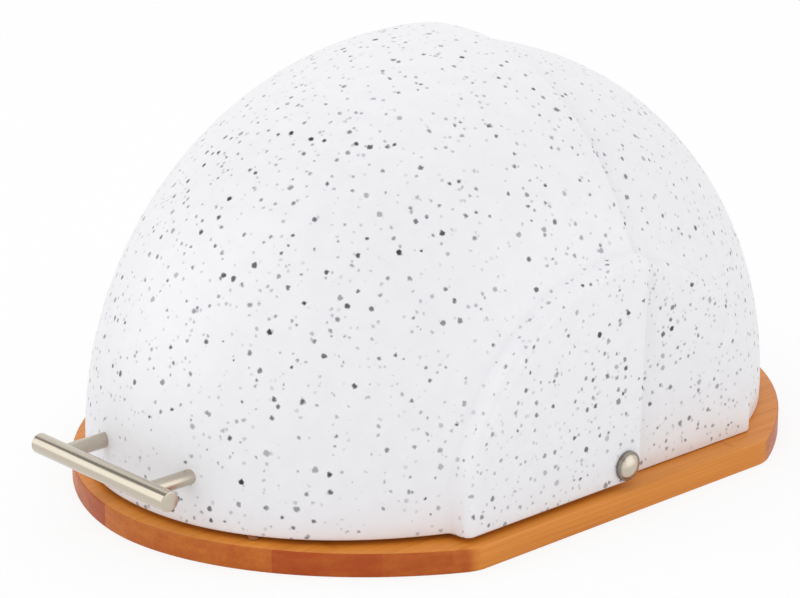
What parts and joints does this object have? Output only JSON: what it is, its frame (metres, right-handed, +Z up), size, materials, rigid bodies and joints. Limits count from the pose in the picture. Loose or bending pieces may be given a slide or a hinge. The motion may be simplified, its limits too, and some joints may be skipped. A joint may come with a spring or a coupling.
{
  "type": "roll-top bread box",
  "caption": "Domed roll-top bread box: a speckled sheet-metal lid with a bar handle turns back over a fixed rear shell on a bamboo board.",
  "frame": {"origin": "on the board's underside, straight below the hinge axis", "axes": "+X along the hinge axis to the right as seen from the handle, -Y towards the handle, +Z up"},
  "size_m": [0.278, 0.4121, 0.2138],
  "materials": {
    "bamboo": "lacquered",
    "coated_steel": "semi-matte white with dark speckles",
    "satin_nickel": "satin",
    "zinc_steel": "zinc plated",
    "nylon": "matte",
    "silicone": "translucent matte"
  },
  "bodies": {
    "base": {"board": "bamboo", "rear_shell": "coated_steel", "pivot_screw_left": "satin_nickel", "pivot_screw_right": "satin_nickel", "pivot_spacer_left": "nylon", "pivot_spacer_right": "nylon", "pivot_washer_left": "zinc_steel", "pivot_washer_right": "zinc_steel", "pivot_nut_left": "zinc_steel", "pivot_nut_right": "zinc_steel", "shell_screw_1": "zinc_steel", "shell_screw_2": "zinc_steel", "shell_screw_3": "zinc_steel", "shell_screw_4": "zinc_steel", "bumper_left": "silicone", "bumper_right": "silicone"},
    "lid": {"front_lid": "coated_steel", "handle_bar": "satin_nickel", "handle_post_left": "satin_nickel", "handle_post_right": "satin_nickel", "handle_washer_left": "nylon", "handle_washer_right": "nylon", "handle_screw_left": "zinc_steel", "handle_screw_right": "zinc_steel"}
  },
  "joints": [
    {"name": "lid_hinge", "type": "hinge", "parent": "base", "child": "lid", "pos_m": [0, 0, 0.0233], "axis": [-1, 0, 0], "range_deg": [0, 87]}
  ]
}
